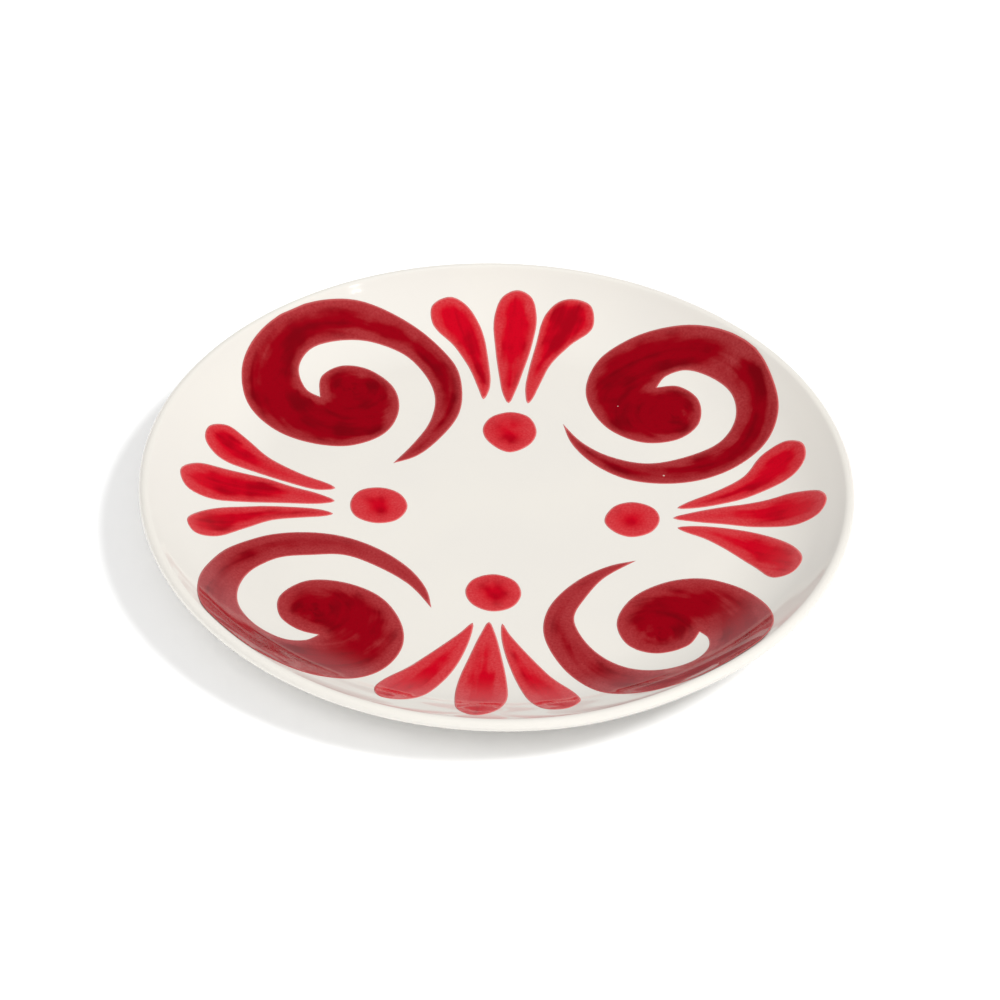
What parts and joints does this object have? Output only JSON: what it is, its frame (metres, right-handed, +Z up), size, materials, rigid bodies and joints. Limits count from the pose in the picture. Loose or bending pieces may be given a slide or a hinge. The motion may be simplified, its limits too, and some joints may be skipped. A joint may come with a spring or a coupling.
{
  "type": "hand painted ceramic plate",
  "caption": "Round coupe plate of white glazed earthenware with a soft raised wall, a foot ring and a painted pattern of red scrolls, petals and dots.",
  "frame": {"origin": "on the table under the middle of the plate, level with the underside of the foot ring", "axes": "+Z up along the plate's axis; the four fans of petals point along +Y (back), +X (right), -Y (front) and -X (left)"},
  "size_m": [0.2698, 0.2698, 0.0244],
  "materials": {
    "clay": "bare fired earthenware, matt and slightly gritty",
    "glaze": "opaque warm white glaze, glossy",
    "crimson": "brushed dark crimson colour under a clear gloss",
    "red": "brushed bright red colour under a clear gloss"
  },
  "bodies": {
    "root": {"clay_body": "clay", "white_glaze": "glaze", "base_glaze": "glaze", "scroll_back_right": "crimson", "scroll_front_right": "crimson", "scroll_front_left": "crimson", "scroll_back_left": "crimson", "petal_back_1": "red", "petal_back_2": "red", "petal_back_3": "red", "petal_right_1": "red", "petal_right_2": "red", "petal_right_3": "red", "petal_front_1": "red", "petal_front_2": "red", "petal_front_3": "red", "petal_left_1": "red", "petal_left_2": "red", "petal_left_3": "red", "dot_back": "red", "dot_right": "red", "dot_front": "red", "dot_left": "red"}
  },
  "joints": []
}
